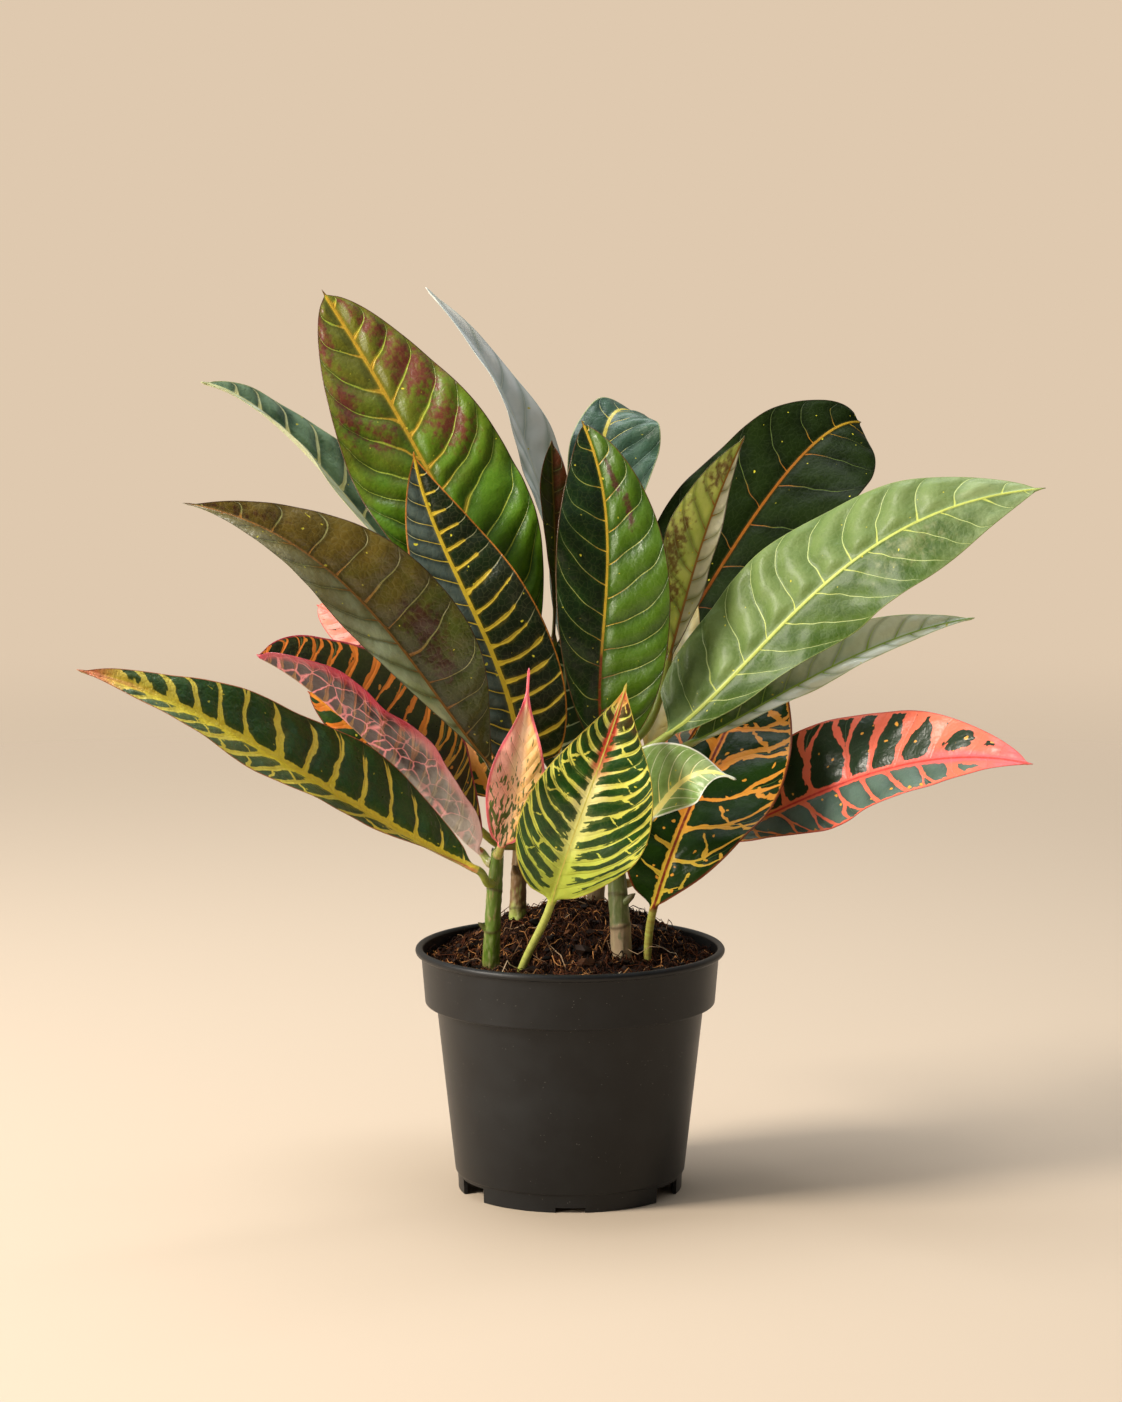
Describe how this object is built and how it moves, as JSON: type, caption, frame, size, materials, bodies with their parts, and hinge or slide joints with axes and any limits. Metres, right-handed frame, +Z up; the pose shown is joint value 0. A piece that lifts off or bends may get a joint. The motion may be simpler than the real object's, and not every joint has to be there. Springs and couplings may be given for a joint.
{
  "type": "potted croton",
  "caption": "Croton house plant with large leathery variegated leaves on woody stems, standing in a soil-filled round plastic nursery pot.",
  "frame": {"origin": "on the pot's axis, at the level of the surface that the pot stands on", "axes": "+Z up along the pot's axis; -Y is the front, the side that the picture shows; +X to the right as seen from the front"},
  "size_m": [0.5038, 0.2839, 0.4934],
  "materials": {
    "pot_plastic": "black moulded polypropylene with a fine satin grain",
    "soil": "dark peat with brown coir fibres",
    "stem_bark": "green to grey-brown young bark with leaf scars",
    "leaf_green": "glossy green leaf with yellow veins",
    "leaf_dark": "glossy near-black green leaf with yellow or orange veins",
    "leaf_bluegreen": "glossy blue-green leaf with pale veins",
    "leaf_olive": "olive-brown leaf with sunken pale veins",
    "leaf_silver": "grey-green leaf with a silvery sheen",
    "leaf_coral": "dark green leaf with broad coral veins and tip",
    "leaf_pink": "pink and peach leaf with dark green specks",
    "leaf_cream": "cream leaf with a green patch",
    "leaf_orange": "dark green leaf netted with orange veins"
  },
  "bodies": {
    "root": {"pot": "pot_plastic", "soil": "soil", "stem_left": "stem_bark", "stem_middle": "stem_bark", "stem_right": "stem_bark", "stem_back": "stem_bark", "leaf_upper_left": "leaf_green", "leaf_arched_left": "leaf_bluegreen", "leaf_dark_left": "leaf_dark", "leaf_olive_left": "leaf_olive", "leaf_silver_top": "leaf_silver", "leaf_small_top": "leaf_dark", "leaf_arched_back": "leaf_silver", "leaf_centre": "leaf_green", "leaf_folded_right": "leaf_olive", "leaf_broad_back_right": "leaf_dark", "leaf_long_right": "leaf_silver", "leaf_narrow_right": "leaf_silver", "leaf_low_left": "leaf_green", "leaf_folded_left": "leaf_dark", "leaf_patched_left": "leaf_orange", "leaf_coral_left": "leaf_coral", "leaf_veined_left": "leaf_coral", "leaf_pink_front": "leaf_pink", "leaf_front": "leaf_green", "leaf_curled_front": "leaf_silver", "leaf_orange_right": "leaf_orange", "leaf_coral_right": "leaf_coral", "leaf_cream_right": "leaf_cream", "leaf_light_veined": "leaf_dark", "leaf_back_low_left": "leaf_green", "leaf_back_low_right": "leaf_orange", "leaf_back_middle": "leaf_coral", "leaf_back_left": "leaf_dark", "leaf_back_right": "leaf_green", "leaf_back_high": "leaf_olive", "leaf_back_side_left": "leaf_orange", "leaf_back_side_right": "leaf_bluegreen"}
  },
  "joints": []
}
